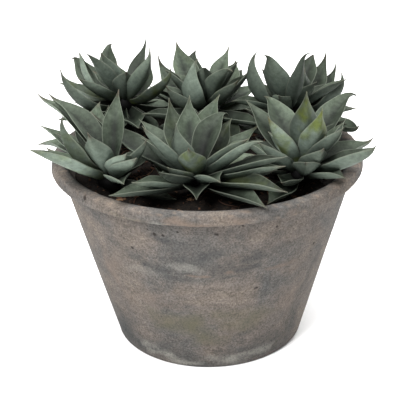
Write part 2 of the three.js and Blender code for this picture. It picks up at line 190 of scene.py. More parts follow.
# Wear that has a shape: a wall that isn't quite round, faint rings from the potter's
# fingers, a band chipped along both its edges, and pits.
WAVER = 0.35  # how far the wall is out of round
WAVER_SIZE = 70
RING_DEPTH = 0.3
RING_SPACING = 2.1
CHIP_DEPTH = 0.9
CHIP_SIZE_ON_EDGE = 5
PIT_RAGGED = 0.55  # how ragged a pit's outline is, as a share of its radius
PIT_RAGGED_SIZE = 2.2
PITS = [  # angle round the pot in degrees, height, radius, depth
    (223, 168.6, 2.4, 1.6),
    (247, 151, 1.8, 0.5),
    (250, 147, 2.5, 0.6),
    (253, 147, 1.8, 0.5),
    (259, 152, 1.8, 0.5),
    (273, 150, 1.9, 0.5),
    (282, 157, 1.6, 0.4),
    (296, 150, 1.6, 0.4),
    (320, 115, 2.0, 0.6),
    (319, 108, 1.6, 0.5),
    (238.5, 128, 1.9, 0.4),
    (291, 88, 1.9, 0.4),
    (40, 120, 2.0, 1.0),
    (95, 60, 2.6, 0.9),
    (150, 132, 2.0, 1.0),
    (181, 40, 2.2, 0.8),
]
points = points_of(pot)
radius = np.hypot(points[:, 0], points[:, 1])
height = points[:, 2]
angle = np.arctan2(points[:, 1], points[:, 0])
outer = radius > inner_radius(height) + WALL / 2
out = points * [1, 1, 0] / np.maximum(radius, 1e-6)[:, None]
upright = outer & (height > FOOT_ROUND + 1) & (height < POT_HEIGHT - 1)
lift = np.zeros(len(points))
lift[upright] += WAVER * grain(points[upright], WAVER_SIZE, 1, 2)
ring_heights = np.arange(0, POT_HEIGHT, RING_SPACING)
rings = [noise.noise(Vector((0, 0, number))) for number in range(len(ring_heights))]
lift[upright] += RING_DEPTH * np.interp(height[upright], ring_heights, rings)
edge = np.zeros(len(points))
for edge_height, edge_width in ((POT_HEIGHT - 0.8, 2.4), (BAND_FOOT + 0.8, 2.0)):
    edge = np.maximum(edge, np.exp(-(((height - edge_height) / edge_width) ** 2)))
chipped = outer & (edge > 0.05)
chip = np.zeros(len(points))
chip[chipped] = np.clip(grain(points[chipped], CHIP_SIZE_ON_EDGE, 2, 3) - 0.12, 0, 0.5) * 2
lift -= CHIP_DEPTH * edge * chip
# Each pit dents the wall, and its outline is kept as painted shade: the material darkens the inside of
# every pit.
painted_pit_shade = np.zeros(len(points))
for pit_angle, pit_height, pit_radius, pit_depth in PITS:
    around = (angle - math.radians(pit_angle) + math.pi) % (2 * math.pi) - math.pi
    away = np.hypot(around * radius, height - pit_height) / pit_radius
    close = away < 3
    away[close] *= 1 + PIT_RAGGED * grain(points[close], PIT_RAGGED_SIZE, 14, 2)
    pit = np.where(outer, np.exp(-(away**2)), 0)
    painted_pit_shade = np.maximum(painted_pit_shade, pit)
    lift -= pit_depth * pit
move_points(pot, points + out * lift[:, None])
# Painted shade: a dark line along the crease under the band's ledge. It goes into the pit attribute with
# the pits' painted shade.
ledge_shade_line = outer * np.exp(-(((height - BAND_FOOT + 0.4) / 0.9) ** 2))
ledge_shade_line[ledge_shade_line > 0.01] *= 0.62 + 0.3 * grain(points[ledge_shade_line > 0.01], 14, 13, 2)
mark_points(pot, "pit", np.maximum(painted_pit_shade, ledge_shade_line))
mark_points(pot, "chip", edge * chip)

# What rain, salt, soot and rubbing left, as patches: angle, height, half width along the
# wall, half height, strength. Their outlines are ragged.
STAINS = {
    "soot": [
        (236, 122, 16, 9, 0.7), (243, 113, 14, 7, 0.9), (250, 109, 12, 6, 0.8), (262, 122, 18, 9, 0.6),
        (270, 127, 16, 9, 0.8), (278, 113, 16, 7, 0.8), (286.6, 122, 14, 8, 1.0), (286, 111, 12, 5, 0.9),
        (262, 136, 34, 11, 0.5), (252, 143, 14, 5, 0.9), (300, 130, 22, 9, 0.6), (298, 143, 16, 6, 0.6),
        (256, 103, 14, 3, 0.7), (279, 105, 12, 2.5, 0.8), (213.8, 22, 16, 24, 0.9), (226, 14, 20, 12, 0.9),
        (240, 16, 26, 10, 0.8), (262, 5, 14, 4, 0.9), (285, 16, 22, 9, 0.6), (302, 18, 26, 16, 0.8),
        (318, 32, 14, 30, 0.9), (322, 84, 8, 44, 0.7), (292, 40, 10, 6, 0.7), (231, 128, 12, 8, 0.6),
        (246, 90, 20, 6, 0.5), (225, 150, 16, 7, 0.6), (30, 60, 30, 22, 0.8), (80, 110, 34, 16, 0.8),
        (130, 30, 30, 22, 0.8), (165, 100, 22, 20, 0.7), (185, 25, 22, 20, 0.8), (60, 22, 30, 14, 0.7),
    ],
    "rubbed": [
        (261.3, 107.5, 6, 1.6, 0.9), (267, 107, 9, 1.6, 1.0), (280, 109.5, 7, 1.8, 0.9),
        (303, 106, 18, 3, 0.7), (312, 96, 9, 6, 0.5), (262, 165.5, 22, 3.4, 0.9), (280, 166, 20, 3.4, 0.9),
        (245, 164, 14, 3, 0.5), (300, 166, 14, 3, 0.6), (222, 96, 14, 26, 0.7), (228, 70, 16, 14, 0.5),
        (312, 66, 24, 22, 0.5), (244, 74, 20, 14, 0.5), (60, 150, 30, 9, 0.7), (120, 110, 22, 6, 0.7),
    ],
    "moss": [
        (257.7, 50, 26, 15, 0.9), (268, 38, 24, 14, 0.8), (246, 57, 20, 12, 0.6), (292, 54, 26, 14, 0.7),
        (240, 165, 22, 3, 0.5), (280, 62, 22, 12, 0.6), (100, 44, 30, 16, 0.8), (10, 60, 30, 16, 0.7),
    ],
    "salt": [
        (246, 10, 14, 6, 0.9), (254, 5, 18, 4, 0.9), (284.6, 8, 16, 6, 0.9), (294, 13, 12, 5, 0.8),
        (236, 18, 14, 7, 0.7), (270, 12, 18, 5, 0.6), (251, 163, 14, 2.5, 0.6), (286, 161, 5, 1.2, 1.0),
        (240, 104, 24, 10, 0.5), (262, 116, 16, 5, 0.6), (160, 12, 26, 8, 0.8), (60, 14, 30, 9, 0.8),
        (100, 140, 22, 14, 0.6),
    ],
}
on_lip = np.exp(-(((radius - inner_radius(POT_HEIGHT) - 3) / 4) ** 2)) * (height > POT_HEIGHT - 6)
RAGGED_ACROSS = 16  # how far a patch's outline strays along the wall
RAGGED_UP = 8
RAGGED_SIZE = 26
ragged_across = np.zeros(len(points))
ragged_up = np.zeros(len(points))
ragged_across[upright] = RAGGED_ACROSS * grain(points[upright], RAGGED_SIZE, 11)
ragged_up[upright] = RAGGED_UP * grain(points[upright], RAGGED_SIZE, 12)
for name, patches in STAINS.items():
    total = np.zeros(len(points))
    for patch_angle, patch_height, half_wide, half_high, strength in patches:
        around = (angle - math.radians(patch_angle) + math.pi) % (2 * math.pi) - math.pi
        away = ((around * radius + ragged_across) / half_wide) ** 2
        away += ((height + ragged_up * min(1, half_high / RAGGED_UP) - patch_height) / half_high) ** 2
        total = np.maximum(total, strength * np.exp(-away))
    total = np.where(outer, total, 0)
    if name == "soot":
        total = np.maximum(total, 0.9 * on_lip)
    mark_points(pot, name, total)

# Terracotta, fired unglazed: an open, dusty, quite rough surface. Its colour goes from
# pinkish tan to grey, in cloudy mottling, with gritty dark and pale grains, hairline
# cracks and faint rings round the pot. The pits and the crease under the band are
# darkened with painted shade.
terracotta, terracotta_output = new_material("weathered terracotta")
place = add(terracotta, "TexCoord").outputs["Object"]
clouds = add(terracotta, "TexNoise", {"Vector": place, "Scale": per(55), "Detail": 6.0,
                                      "Roughness": 0.66, "Distortion": 0.4})
clay = add(terracotta, "ValToRGB", {"Fac": clouds.outputs["Fac"]}, stops=[
    (0.32, "#434342"), (0.44, "#4e4b48"), (0.54, "#57514c"), (0.68, "#605850")])
streaks_place = add(terracotta, "Mapping", {"Vector": place, "Scale": (1.0, 1.0, 6.0)})
streaks = add(terracotta, "TexNoise", {"Vector": streaks_place.outputs[0], "Scale": per(34),
                                       "Detail": 5.0, "Roughness": 0.7})
mottle = add(terracotta, "TexNoise", {"Vector": place, "Scale": per(9), "Detail": 6.0,
                                      "Roughness": 0.8})
grit = add(terracotta, "TexNoise", {"Vector": place, "Scale": per(1.7), "Detail": 3.0,
                                    "Roughness": 0.8})
colour = clay.outputs["Color"]
for pattern, spread in ((streaks, 0.18), (mottle, 0.34), (grit, 0.7)):
    tone = add(terracotta, "MapRange", {"Value": pattern.outputs["Fac"], "From Min": 0.25,
                                        "From Max": 0.75, "To Min": 1 - spread, "To Max": 1 + spread})
    colour = add(terracotta, "VectorMath", {0: colour, "Scale": tone.outputs[0]},
                 operation="SCALE").outputs["Vector"]
STAIN_COLOURS = {"soot": "#393a3a", "rubbed": "#63564c", "moss": "#4d4a39", "salt": "#817f78"}
for name, stain_colour in STAIN_COLOURS.items():
    patch = add(terracotta, "Attribute", attribute_name=name)
    speckled = add(terracotta, "Math", {0: mottle.outputs["Fac"], 1: grit.outputs["Fac"]},
                   operation="ADD")
    broken = add(terracotta, "Math", {0: speckled.outputs[0], 1: patch.outputs["Fac"]},
                 operation="MULTIPLY")
    share = add(terracotta, "MapRange", {"Value": broken.outputs[0], "From Min": 0.25,
                                         "From Max": 1.0, "To Min": 0.0, "To Max": 0.8})
    colour = add(terracotta, "Mix", {"Factor": share.outputs[0], "A": colour, "B": stain_colour},
                 data_type="RGBA").outputs["Result"]
grains = add(terracotta, "TexNoise", {"Vector": place, "Scale": per(1.5), "Detail": 2.0,
                                      "Roughness": 0.6})
for low, high, grain_colour in ((0.36, 0.28, "#2a2623"), (0.66, 0.78, "#8b857b")):
    share = add(terracotta, "MapRange", {"Value": grains.outputs["Fac"], "From Min": low,
                                         "From Max": high, "To Min": 0.0, "To Max": 0.45})
    colour = add(terracotta, "Mix", {"Factor": share.outputs[0], "A": colour, "B": grain_colour},
                 data_type="RGBA").outputs["Result"]
specks = add(terracotta, "TexNoise", {"Vector": place, "Scale": per(2.2), "Detail": 2.0,
                                      "Roughness": 0.7})
speck = add(terracotta, "MapRange", {"Value": specks.outputs["Fac"], "From Min": 0.47,
                                     "From Max": 0.37, "To Min": 0.0, "To Max": 0.75})
soot_mark = add(terracotta, "Attribute", attribute_name="soot")
soot_speck = add(terracotta, "Math", {0: speck.outputs[0], 1: soot_mark.outputs["Fac"]},
                 operation="MULTIPLY")
colour = add(terracotta, "Mix", {"Factor": soot_speck.outputs[0], "A": colour, "B": "#252627"},
             data_type="RGBA").outputs["Result"]
crack_bend = add(terracotta, "TexNoise", {"Vector": place, "Scale": per(14), "Detail": 4.0})
crack_place = add(terracotta, "Mix", {"Factor": 0.03, "A": place,
                                      "B": crack_bend.outputs["Color"]}, data_type="RGBA")
crack = add(terracotta, "TexVoronoi", {"Vector": crack_place.outputs["Result"], "Scale": per(36)},
            feature="DISTANCE_TO_EDGE")
crack_thin = add(terracotta, "MapRange", {"Value": crack.outputs["Distance"], "From Min": 0.022,
                                          "From Max": 0.008, "To Min": 0.0, "To Max": 1.0})
crack_some = add(terracotta, "MapRange", {"Value": clouds.outputs["Fac"], "From Min": 0.5,
                                          "From Max": 0.6, "To Min": 0.0, "To Max": 0.3})
crack_share = add(terracotta, "Math", {0: crack_thin.outputs[0], 1: crack_some.outputs[0]},
                  operation="MULTIPLY")
# Painted shade: the inside of each pit and the crease under the band are darkened, together with the
# hairline cracks.
pit_and_ledge_shade_mark = add(terracotta, "Attribute", attribute_name="pit")
ragged_pit_and_ledge_shade = add(terracotta, "Math", {0: pit_and_ledge_shade_mark.outputs["Fac"], 1: grit.outputs["Fac"]},
                operation="ADD")
pit_and_ledge_shade_share = add(terracotta, "MapRange", {"Value": ragged_pit_and_ledge_shade.outputs[0], "From Min": 0.98,
                                         "From Max": 1.14, "To Min": 0.0, "To Max": 0.9})
crack_and_painted_shade_share = add(terracotta, "Math", {0: crack_share.outputs[0], 1: pit_and_ledge_shade_share.outputs[0]},
                 operation="MAXIMUM")
colour = add(terracotta, "Mix", {"Factor": crack_and_painted_shade_share.outputs[0], "A": colour, "B": "#1e1a17"},
             data_type="RGBA").outputs["Result"]
chip_mark = add(terracotta, "Attribute", attribute_name="chip")
chip_share = add(terracotta, "Math", {0: chip_mark.outputs["Fac"], 1: 0.5}, operation="MULTIPLY")
colour = add(terracotta, "Mix", {"Factor": chip_share.outputs[0], "A": colour, "B": "#7a6b5e"},
             data_type="RGBA").outputs["Result"]
fine_bump = add(terracotta, "Bump", {"Height": grains.outputs["Fac"], "Strength": 0.4,
                                     "Distance": 0.25 * MM})
mottle_bump = add(terracotta, "Bump", {"Height": mottle.outputs["Fac"], "Strength": 0.6,
                                       "Distance": 0.7 * MM, "Normal": fine_bump.outputs[0]})
crack_bump = add(terracotta, "Bump", {"Height": crack_share.outputs[0], "Strength": 0.6,
                                      "Distance": 0.4 * MM, "Normal": mottle_bump.outputs[0]},
                 invert=True)
roughness = add(terracotta, "MapRange", {"Value": mottle.outputs["Fac"], "From Min": 0.3,
                                         "From Max": 0.7, "To Min": 0.86, "To Max": 0.98})
fired = add(terracotta, "BsdfPrincipled", {"Base Color": colour, "Roughness": roughness.outputs[0],
                                           "Normal": crack_bump.outputs[0],
                                           "Specular IOR Level": 0.25})
terracotta.node_tree.links.new(fired.outputs[0], terracotta_output.inputs["Surface"])
pot.data.materials.append(terracotta)
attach(pot, "root")
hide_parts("pot")

# Soil
# Dark peaty potting mix with fine bark, filled to a little below the rim and pressed down
# towards the wall. Each stem stands in a hole in it.
GAP = 0.3
SOIL_EDGE_HEIGHT = 153.5
SOIL_DOME = 7
SOIL_SIDES = 220
SOIL_RADIUS = inner_radius(SOIL_EDGE_HEIGHT) - GAP


def soil_height(x, y):
    share = np.minimum(1, (x * x + y * y) / SOIL_RADIUS**2)
    clods = 1.3 * np.sin(x / 9 + 1) * np.cos(y / 11) + 0.9 * np.sin(x / 5 + y / 6)
    return SOIL_EDGE_HEIGHT + SOIL_DOME * (1 - share) + clods * (1 - share**3)


soil_below = [
    (0, FLOOR + GAP),
    *arc(inner_radius(FLOOR + CORNER_RADIUS) - CORNER_RADIUS, FLOOR + CORNER_RADIUS,
         CORNER_RADIUS - GAP, -90, 0, 4),
    (SOIL_RADIUS, SOIL_EDGE_HEIGHT),
]
soil_top = spaced([(SOIL_RADIUS, SOIL_EDGE_HEIGHT), (0, SOIL_EDGE_HEIGHT)], 1.7)
soil = turned("potting_soil", soil_below + soil_top[1:], SOIL_SIDES)
points = points_of(soil)
top = points[:, 2] > SOIL_EDGE_HEIGHT - 0.01
at_edge = np.hypot(points[:, 0], points[:, 1]) > SOIL_RADIUS - 0.6
crumbs = grain(points[top], 6, 5, 4) * 1.3 + grain(points[top], 1.8, 6, 2) * 0.5
points[top, 2] = soil_height(points[top, 0], points[top, 1]) + crumbs * ~at_edge[top]
move_points(soil, points)

# Each stem leans out a little from the middle of the pot and stands in a plain hole.
STEM_RADIUS = 5.5
STEM_SUNK = 30
STEM_LEAN = 0.86
MEETING = {  # where each rosette's leaves meet
    "front": (-9, -64, 169),
    "left": (-80, -58, 169),
    "right": (79, -50, 168),
    "back_middle": (0, 64, 186),
    "back_left": (-77, 74, 190),
    "back_right": (79, 62, 184),
}


def stem_line(at):
    foot_x, foot_y = STEM_LEAN * at[0], STEM_LEAN * at[1]
    foot = np.array([foot_x, foot_y, soil_height(foot_x, foot_y) - STEM_SUNK])
    return foot, np.array(at, float)


for at in MEETING.values():
    foot, top_end = stem_line(at)
    lean = Vector(top_end - foot)
    middle = Vector(foot + top_end) / 2
    bpy.ops.mesh.primitive_cylinder_add(vertices=24, radius=(STEM_RADIUS + GAP) * MM,
                                        depth=(lean.length + 2 * GAP) * MM, location=middle * MM,
                                        rotation=lean.to_track_quat("Z", "Y").to_euler())
    drill = bpy.context.object
    cut = soil.modifiers.new("stem hole", "BOOLEAN")
    cut.object = drill
    cut.operation = "DIFFERENCE"
    cut.solver = "EXACT"
    drill.select_set(False)
    soil.select_set(True)
    bpy.context.view_layer.objects.active = soil
    bpy.ops.object.modifier_apply(modifier=cut.name)
    soil.select_set(False)
    bpy.data.objects.remove(drill)

# Peat and bark: near black where damp, browner on the crumbs, matt.
peat, peat_output = new_material("damp peat and bark")
place = add(peat, "TexCoord").outputs["Object"]
crumb = add(peat, "TexNoise", {"Vector": place, "Scale": per(3.5), "Detail": 6.0, "Roughness": 0.7})
brown = add(peat, "ValToRGB", {"Fac": crumb.outputs["Fac"]}, stops=[
    (0.34, "#0b0807"), (0.52, "#16110d"), (0.66, "#251c15"), (0.78, "#3a2d22")])
crumb_bump = add(peat, "Bump", {"Height": crumb.outputs["Fac"], "Strength": 0.9, "Distance": 1.2 * MM})
damp = add(peat, "BsdfPrincipled", {"Base Color": brown.outputs["Color"], "Roughness": 0.95,
                                    "Normal": crumb_bump.outputs[0], "Specular IOR Level": 0.2})
peat.node_tree.links.new(damp.outputs[0], peat_output.inputs["Surface"])
soil.data.materials.append(peat)
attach(soil, "root")
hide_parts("soil")

# Bark chips and fibres
# Broken bits of bark, half sunk in the soil's surface, and dry root fibres that lie on it.
CHIPS = 620
CHIP_SIZE = (1.6, 6.5)
FIBRES = 170
FIBRE_LENGTH = (9, 24)
FIBRE_RADIUS = (0.25, 0.5)
FIBRE_STEPS = 7
CHIP_RAISED = 0.6  # a chip's middle above the soil's surface
KEPT_CLEAR = 11  # round each stem
strewn = random.Random(3)


def spot_on_soil(margin):
    """A place on the soil, clear of the stems and the wall."""
    while True:
        away = (SOIL_RADIUS - margin) * math.sqrt(strewn.random())
        turn = strewn.uniform(0, 2 * math.pi)
        x, y = away * math.cos(turn), away * math.sin(turn)
        if all(math.dist((x, y), (STEM_LEAN * at[0], STEM_LEAN * at[1])) > KEPT_CLEAR
               for at in MEETING.values()):
            return x, y


def loose_piece(name, points, faces, tones, material):
    """Many small closed solids as one piece, each with a tone of its own."""
    mesh = bpy.data.meshes.new(name)
    mesh.from_pydata((np.concatenate(points) * MM).tolist(), [], faces)
    piece = bpy.data.objects.new(name, mesh)
    bpy.context.collection.objects.link(piece)
    mark_points(piece, "tone", np.concatenate(tones))
    piece.data.materials.append(material)
    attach(piece, "root")


def tube_faces(rows, columns, first):
    """Quads round and along a grid of points, with both its ends closed."""
    k = np.arange(rows - 1)[:, None] * columns
    i = np.arange(columns)
    j = (i + 1) % columns
    quads = np.stack([k + i, k + columns + i, k + columns + j, k + j], axis=-1).reshape(-1, 4) + first
    near = [first + n for n in range(columns)]
    far = [first + (rows - 1) * columns + n for n in reversed(range(columns))]
    return [q.tolist() for q in quads] + [near, far]


# Dry bark and root: from red brown to pale tan, matt, with a fine grain.
bark, bark_output = new_material("dry bark and root fibre")
bark_tone = add(bark, "Attribute", attribute_name="tone")
bark_brown = add(bark, "ValToRGB", {"Fac": bark_tone.outputs["Fac"]}, stops=[
    (0.0, "#15100c"), (0.5, "#30221a"), (0.8, "#4b3325"), (1.0, "#6d5540")])
bark_grain = add(bark, "TexNoise", {"Vector": add(bark, "TexCoord").outputs["Object"],
                                    "Scale": per(1.2), "Detail": 3.0})
bark_bump = add(bark, "Bump", {"Height": bark_grain.outputs["Fac"], "Strength": 0.6,
                               "Distance": 0.3 * MM})
dry = add(bark, "BsdfPrincipled", {"Base Color": bark_brown.outputs["Color"], "Roughness": 0.9,
                                   "Normal": bark_bump.outputs[0], "Specular IOR Level": 0.25})
bark.node_tree.links.new(dry.outputs[0], bark_output.inputs["Surface"])

points, faces, tones = [], [], []
for number in range(CHIPS):
    x, y = spot_on_soil(8)
    long_side = CHIP_SIZE[0] + (CHIP_SIZE[1] - CHIP_SIZE[0]) * strewn.random() ** 2
    sides = Vector((long_side, long_side * strewn.uniform(0.4, 0.8), long_side * strewn.uniform(0.2, 0.4)))
    tilt = Matrix.Rotation(strewn.uniform(0, 2 * math.pi), 3, "Z") @ Matrix.Rotation(
        strewn.uniform(-0.5, 0.5), 3, "X")
    centre = Vector((x, y, float(soil_height(x, y)) + CHIP_RAISED))
    skew = strewn.uniform(-0.4, 0.4)
    corners = []
    for up in (-0.5, 0.5):
        for over, along in ((-0.5, -0.5), (0.5, -0.5), (0.5, 0.5), (-0.5, 0.5)):
            narrow = 1 - 0.35 * (up + 0.5)
            corner = Vector((sides.x * (over + skew * along) * narrow, sides.y * along * narrow,
                             sides.z * up))
            corners.append(centre + tilt @ corner)
    first = 8 * number
    points.append(np.array(corners))
    faces += [[first + n for n in face] for face in (
        (3, 2, 1, 0), (4, 5, 6, 7), (0, 1, 5, 4), (1, 2, 6, 5), (2, 3, 7, 6), (3, 0, 4, 7))]
    tones.append(np.full(8, strewn.random()))
loose_piece("bark_chips", points, faces, tones, bark)

points, faces, tones = [], [], []
for number in range(FIBRES):
    x, y = spot_on_soil(27)
    heading = strewn.uniform(0, 2 * math.pi)
    bend = strewn.uniform(-1.6, 1.6)
    length = strewn.uniform(*FIBRE_LENGTH)
    thick = strewn.uniform(*FIBRE_RADIUS)
    arch = strewn.uniform(0.4, 2.5)
    rows = []
    for step in range(FIBRE_STEPS):
        share = step / (FIBRE_STEPS - 1)
        way = heading + bend * share
        middle = Vector((x, y, float(soil_height(x, y)) + 1.3 + arch * math.sin(math.pi * share)))
        side = Vector((-math.sin(way), math.cos(way), 0)) * thick
        up = Vector((0, 0, thick))
        rows += [middle + side, middle - up, middle - side, middle + up]
        x += math.cos(way) * length / (FIBRE_STEPS - 1)
        y += math.sin(way) * length / (FIBRE_STEPS - 1)
    points.append(np.array(rows))
    faces += tube_faces(FIBRE_STEPS, 4, 4 * FIBRE_STEPS * number)
    tones.append(np.full(len(rows), strewn.uniform(0.4, 1.0)))
loose_piece("root_fibres", points, faces, tones, bark)

# Leaves
# Each rosette is one plant: leaves with pointed tips, cupped along their length, in a
# spiral about a short stem, outer ones nearly level and inner ones upright. The rule that
# places them is the part's own, so every leaf lies where the part has it.
GOLDEN_ANGLE = 137.508
LEAF_WIDTH = 25  # of a leaf as long as USUAL_LENGTH
USUAL_LENGTH = 80
LENGTH_POWER = 0.2  # how a blade's width grows with its length
ROOT_FLARE = 0.4  # how much wider a blade's root is than a plain bow, as a share
WIDEST_POWER = 1.15  # moves the widest place towards the tip
DRAWN_FROM = 0.58  # the share of the length where the drawn-out point begins
DRAWN_OUT = 0.75  # how much it narrows there, as a share
DRAWN_POWER = 1.2  # how late it narrows
PEAK = 1.03  # the outline's greatest value, taken out again
HOOK_FROM = 0.75  # the share of the length where the hook begins
ROOT_RADIUS = (5.5, 1.5)  # of a level leaf's root about the stem, and of an upright one's
ROOT_HEIGHT = (-2, 12)
STEPS = 24  # along a leaf's centre line
ACROSS = np.array([-1, -0.5, 0, 0.5, 1])
THICKNESS = (2.8, 1.2)  # at the root and at the tip
FOLD_ROOT = 36  # how steeply each half of a blade stands up, in degrees
FOLD_EASE = 15  # how much less it is at mid-length
FOLD_EARLY = 1.1  # how much sooner than at the tip it is back at its root's value
CUP_POWER = 1.6  # how evenly the blade is cupped: 1 is a sharp fold, 2 a round one
CORE_MIDDLE = np.array([0, 0, 6])
CLEAR_OTHERS = 5.2  # between blades on different rosettes
CLEAR_OWN = 2.6  # between outer halves of blades on one rosette
OWN_FROM = 12  # the step where the outer half begins
CLEAR_SOIL = 4
CLEAR_RIM = 3.2
CLEAR_CORE = 18
CLEAR_STEM = 10
REACH = 156  # how far a tip may stand out from the pot's axis, sideways or back
BENDS = [(0, 0), (0, 3), (4, 0), (-4, 0), (0, -3), (4, 3), (-4, 3), (0, 6), (8, 0), (-8, 0),
         (8, 4), (-8, 4), (0, -6), (0, 10), (12, 4), (-12, 4), (0, 14)]  # of turn and rise
SPIRAL_LEAVES = 21  # tried on each rosette
SPIRAL_SPREAD = 17  # degrees kept between directions of leaves
SPIRAL_RISE = (-12, 52)  # of the lowest leaf and of the highest
SPIRAL_LENGTH = (62, 52)
SPIRAL_STRAY = 4  # degrees that a leaf strays up or down
SPIRAL_GROWN = (0.92, 1.06)  # how far a leaf's length differs, as a share
SPIRAL_CURL = (0, 45)
SPIRAL_HOOK = (-35, 15)
SPIRAL_SWEEP = (-24, 24)
BACK_SHORTER = 0.4  # how much shorter a leaf that points straight back is
SEED = 5

# Each rosette: where its leaves meet, and the leaves that give it its own look, as
# [turn, rise, length, curl, hook, sweep, width]. Turn is anticlockwise from +X, rise is above
# level, curl bends the whole leaf upwards, hook its last quarter, and sweep bends the whole
# leaf to its left, in degrees. Width is a share of the usual.
ROSETTES = {
    "front": (MEETING["front"], [
        [270, 10, 50, -20, 0, 0, 1], [220, 10, 85, 10, 0, 0, 1], [305, 8, 90, 0, -10, 0, 1],
        [313, 13, 100, -10, 0, 0, 1], [225, 18, 70, 20, 0, 0, 1], [240, 25, 60, 30, 0, 0, 1],
        [290, 20, 55, -10, -20, 0, 1], [150, 22, 110, 20, 20, 0, 1], [240, 30, 50, 30, 0, 0, 1],
        [263, 46, 60, 20, 0, 0, 1], [210, 50, 70, 20, 0, 0, 1], [130, 25, 80, 10, -10, 0, 1],
        [110, 35, 80, 30, 0, -20, 1], [235, 65, 60, 60, 10, 0, 1], [95, 40, 75, 10, 0, -20, 1],
        [75, 32, 90, 0, -10, -20, 1], [65, 30, 75, 10, -10, 0, 1], [60, 40, 70, -60, -70, -20, 1],
        [50, 20, 85, 10, 0, 0, 1], [325, 43, 65, -10, 0, 0, 1], [330, 40, 75, 10, -40, 0, 1],
        [330, 25, 86, 0, 0, 0, 1], [320, 16, 80, 0, 0, 0, 1], [5, 0, 60, 20, 0, 0, 1],
        [345, 15, 65, 20, 0, 0, 1], [90, 10, 60, 20, 0, 0, 1],
    ]),
    "left": (MEETING["left"], [
        [255, 51, 70, 20, 0, 0, 1], [220, 55, 80, 70, 30, 0, 1], [142, 33, 100, -60, 50, 20, 0.9],
        [140, 38, 92, -60, 50, 20, 0.9], [140, 20, 87, -10, -10, 0, 0.7],
        [142, 13, 86, -30, -20, 35, 1.1], [225, 33, 90, 10, -10, 0, 1.1],
        [226, 31, 78, 20, 20, -40, 1.1], [120, 35, 75, 20, 0, 0, 1], [100, 28, 90, 10, -30, -40, 1],
        [95, 20, 95, 10, 0, -10, 1], [290, 40, 60, 10, 0, 0, 1], [300, 35, 65, 10, 0, 0, 1],
        [335, -5, 55, 20, 0, 0, 1], [60, 10, 60, 20, 0, 0, 1], [285, 20, 55, -20, 0, 0, 1],
        [80, 60, 70, -30, 0, 0, 0.8],
    ]),
    "right": (MEETING["right"], [
        [30, 10, 75, -10, 60, -20, 1.1], [304, 30, 100, 20, 20, -30, 1.1], [125, 31, 85, 10, -10, 0, 1],
        [225, 55, 70, 20, 0, 0, 1], [110, 27, 90, -40, -20, 0, 1], [270, 70, 80, 20, 0, 0, 1],
        [75, 30, 65, 10, 0, 0, 1], [288, 61, 75, 30, 0, 0, 1], [52, 31, 100, -30, -70, -10, 1],
        [40, 35, 60, -10, -20, 30, 1.1], [285, 40, 60, 20, 0, 0, 1], [305, 45, 70, 10, 0, 0, 1],
        [245, 15, 45, 30, 0, 0, 1], [220, 40, 60, 20, 0, 0, 1], [155, 10, 55, 30, 0, 0, 1],
        [130, 15, 55, 30, 0, 0, 1], [235, -5, 50, 20, 0, 0, 1],
    ]),
    "back_middle": (MEETING["back_middle"], [
        [110, 28, 90, 10, 0, -20, 1], [92, 22, 90, 0, -10, -50, 0.9], [238, 70, 75, 170, 0, -20, 1],
        [300, 50, 65, -20, -60, 0, 1], [268, 62, 52, 10, -60, 20, 1], [73, 24, 85, -20, 40, 0, 0.7],
        [66, 25, 75, -10, 40, 20, 1.1], [64, 13, 80, 0, -20, 20, 1], [230, 35, 65, 60, 0, 0, 1],
        [115, 20, 60, 20, 0, -20, 1], [119, 14, 104, 50, 50, 0, 1.1], [50, 5, 80, 20, 0, 0, 1],
        [305, 40, 60, 30, 0, 0, 1], [260, -15, 60, 20, 0, 0, 1], [205, -20, 65, 10, 0, 0, 1],
        [230, -5, 60, 20, 0, 0, 1], [300, -10, 60, 20, 0, 0, 1], [320, 0, 60, 20, 0, 0, 1],
        [335, -15, 65, 10, 0, 0, 1],
    ]),
    "back_left": (MEETING["back_left"], [
        [220, 35, 90, 100, 0, -20, 1.1], [135, 6, 100, 60, 50, 0, 1.1], [230, 35, 65, 20, 0, 0, 1],
        [185, 55, 65, 100, -40, 0, 1], [125, 18, 100, 45, -80, -15, 1.1], [233, 53, 70, 10, -20, 0, 1],
        [235, 63, 58, 20, -20, 0, 1], [101, 26, 90, 0, -60, -50, 0.7], [103, 17, 65, 10, 0, 0, 1],
        [79, 19, 102, 20, 50, -10, 0.6], [302, 48, 85, 40, 40, 10, 0.9], [68, 12, 88, 40, 20, 10, 0.9],
        [320, 36, 76, 60, 30, 0, 1], [70, 0, 105, 40, 0, 60, 1.1], [260, -10, 60, 20, 0, 0, 1],
        [235, -5, 65, 20, 0, 0, 1.1], [285, -5, 60, 20, 0, 0, 1], [305, -15, 60, 20, 0, 0, 1],
        [230, 10, 60, 40, 0, 0, 1.1],
    ]),
    "back_right": (MEETING["back_right"], [
        [210, 59, 83, 130, 40, 30, 1.1], [240, 55, 85, 40, -70, 0, 1.1],
        [280, 53, 100, 60, -80, 40, 0.6], [60, 25, 85, 60, 30, 10, 1], [69, 27, 79, 0, -40, 10, 0.9],
        [53, 16, 85, 50, 60, 10, 1], [330, 40, 70, 100, 50, -50, 1.1], [290, 60, 50, 40, 20, 0, 1],
        [100, 22, 70, 20, 0, 0, 0.7], [92, 14, 55, 0, 0, 0, 1], [310, 5, 85, 40, 40, -50, 1.1],
        [255, -15, 60, 20, 0, 0, 1], [290, -10, 60, 20, 0, 0, 1], [315, 5, 60, 20, 0, 0, 1],
    ]),
}


def mix(ends, share):
    return ends[0] + (ends[1] - ends[0]) * share


def direction(turn, rise):
    turn, rise = np.radians(turn), np.radians(rise)
    return np.stack([np.cos(rise) * np.cos(turn), np.cos(rise) * np.sin(turn), np.sin(rise)], axis=-1)


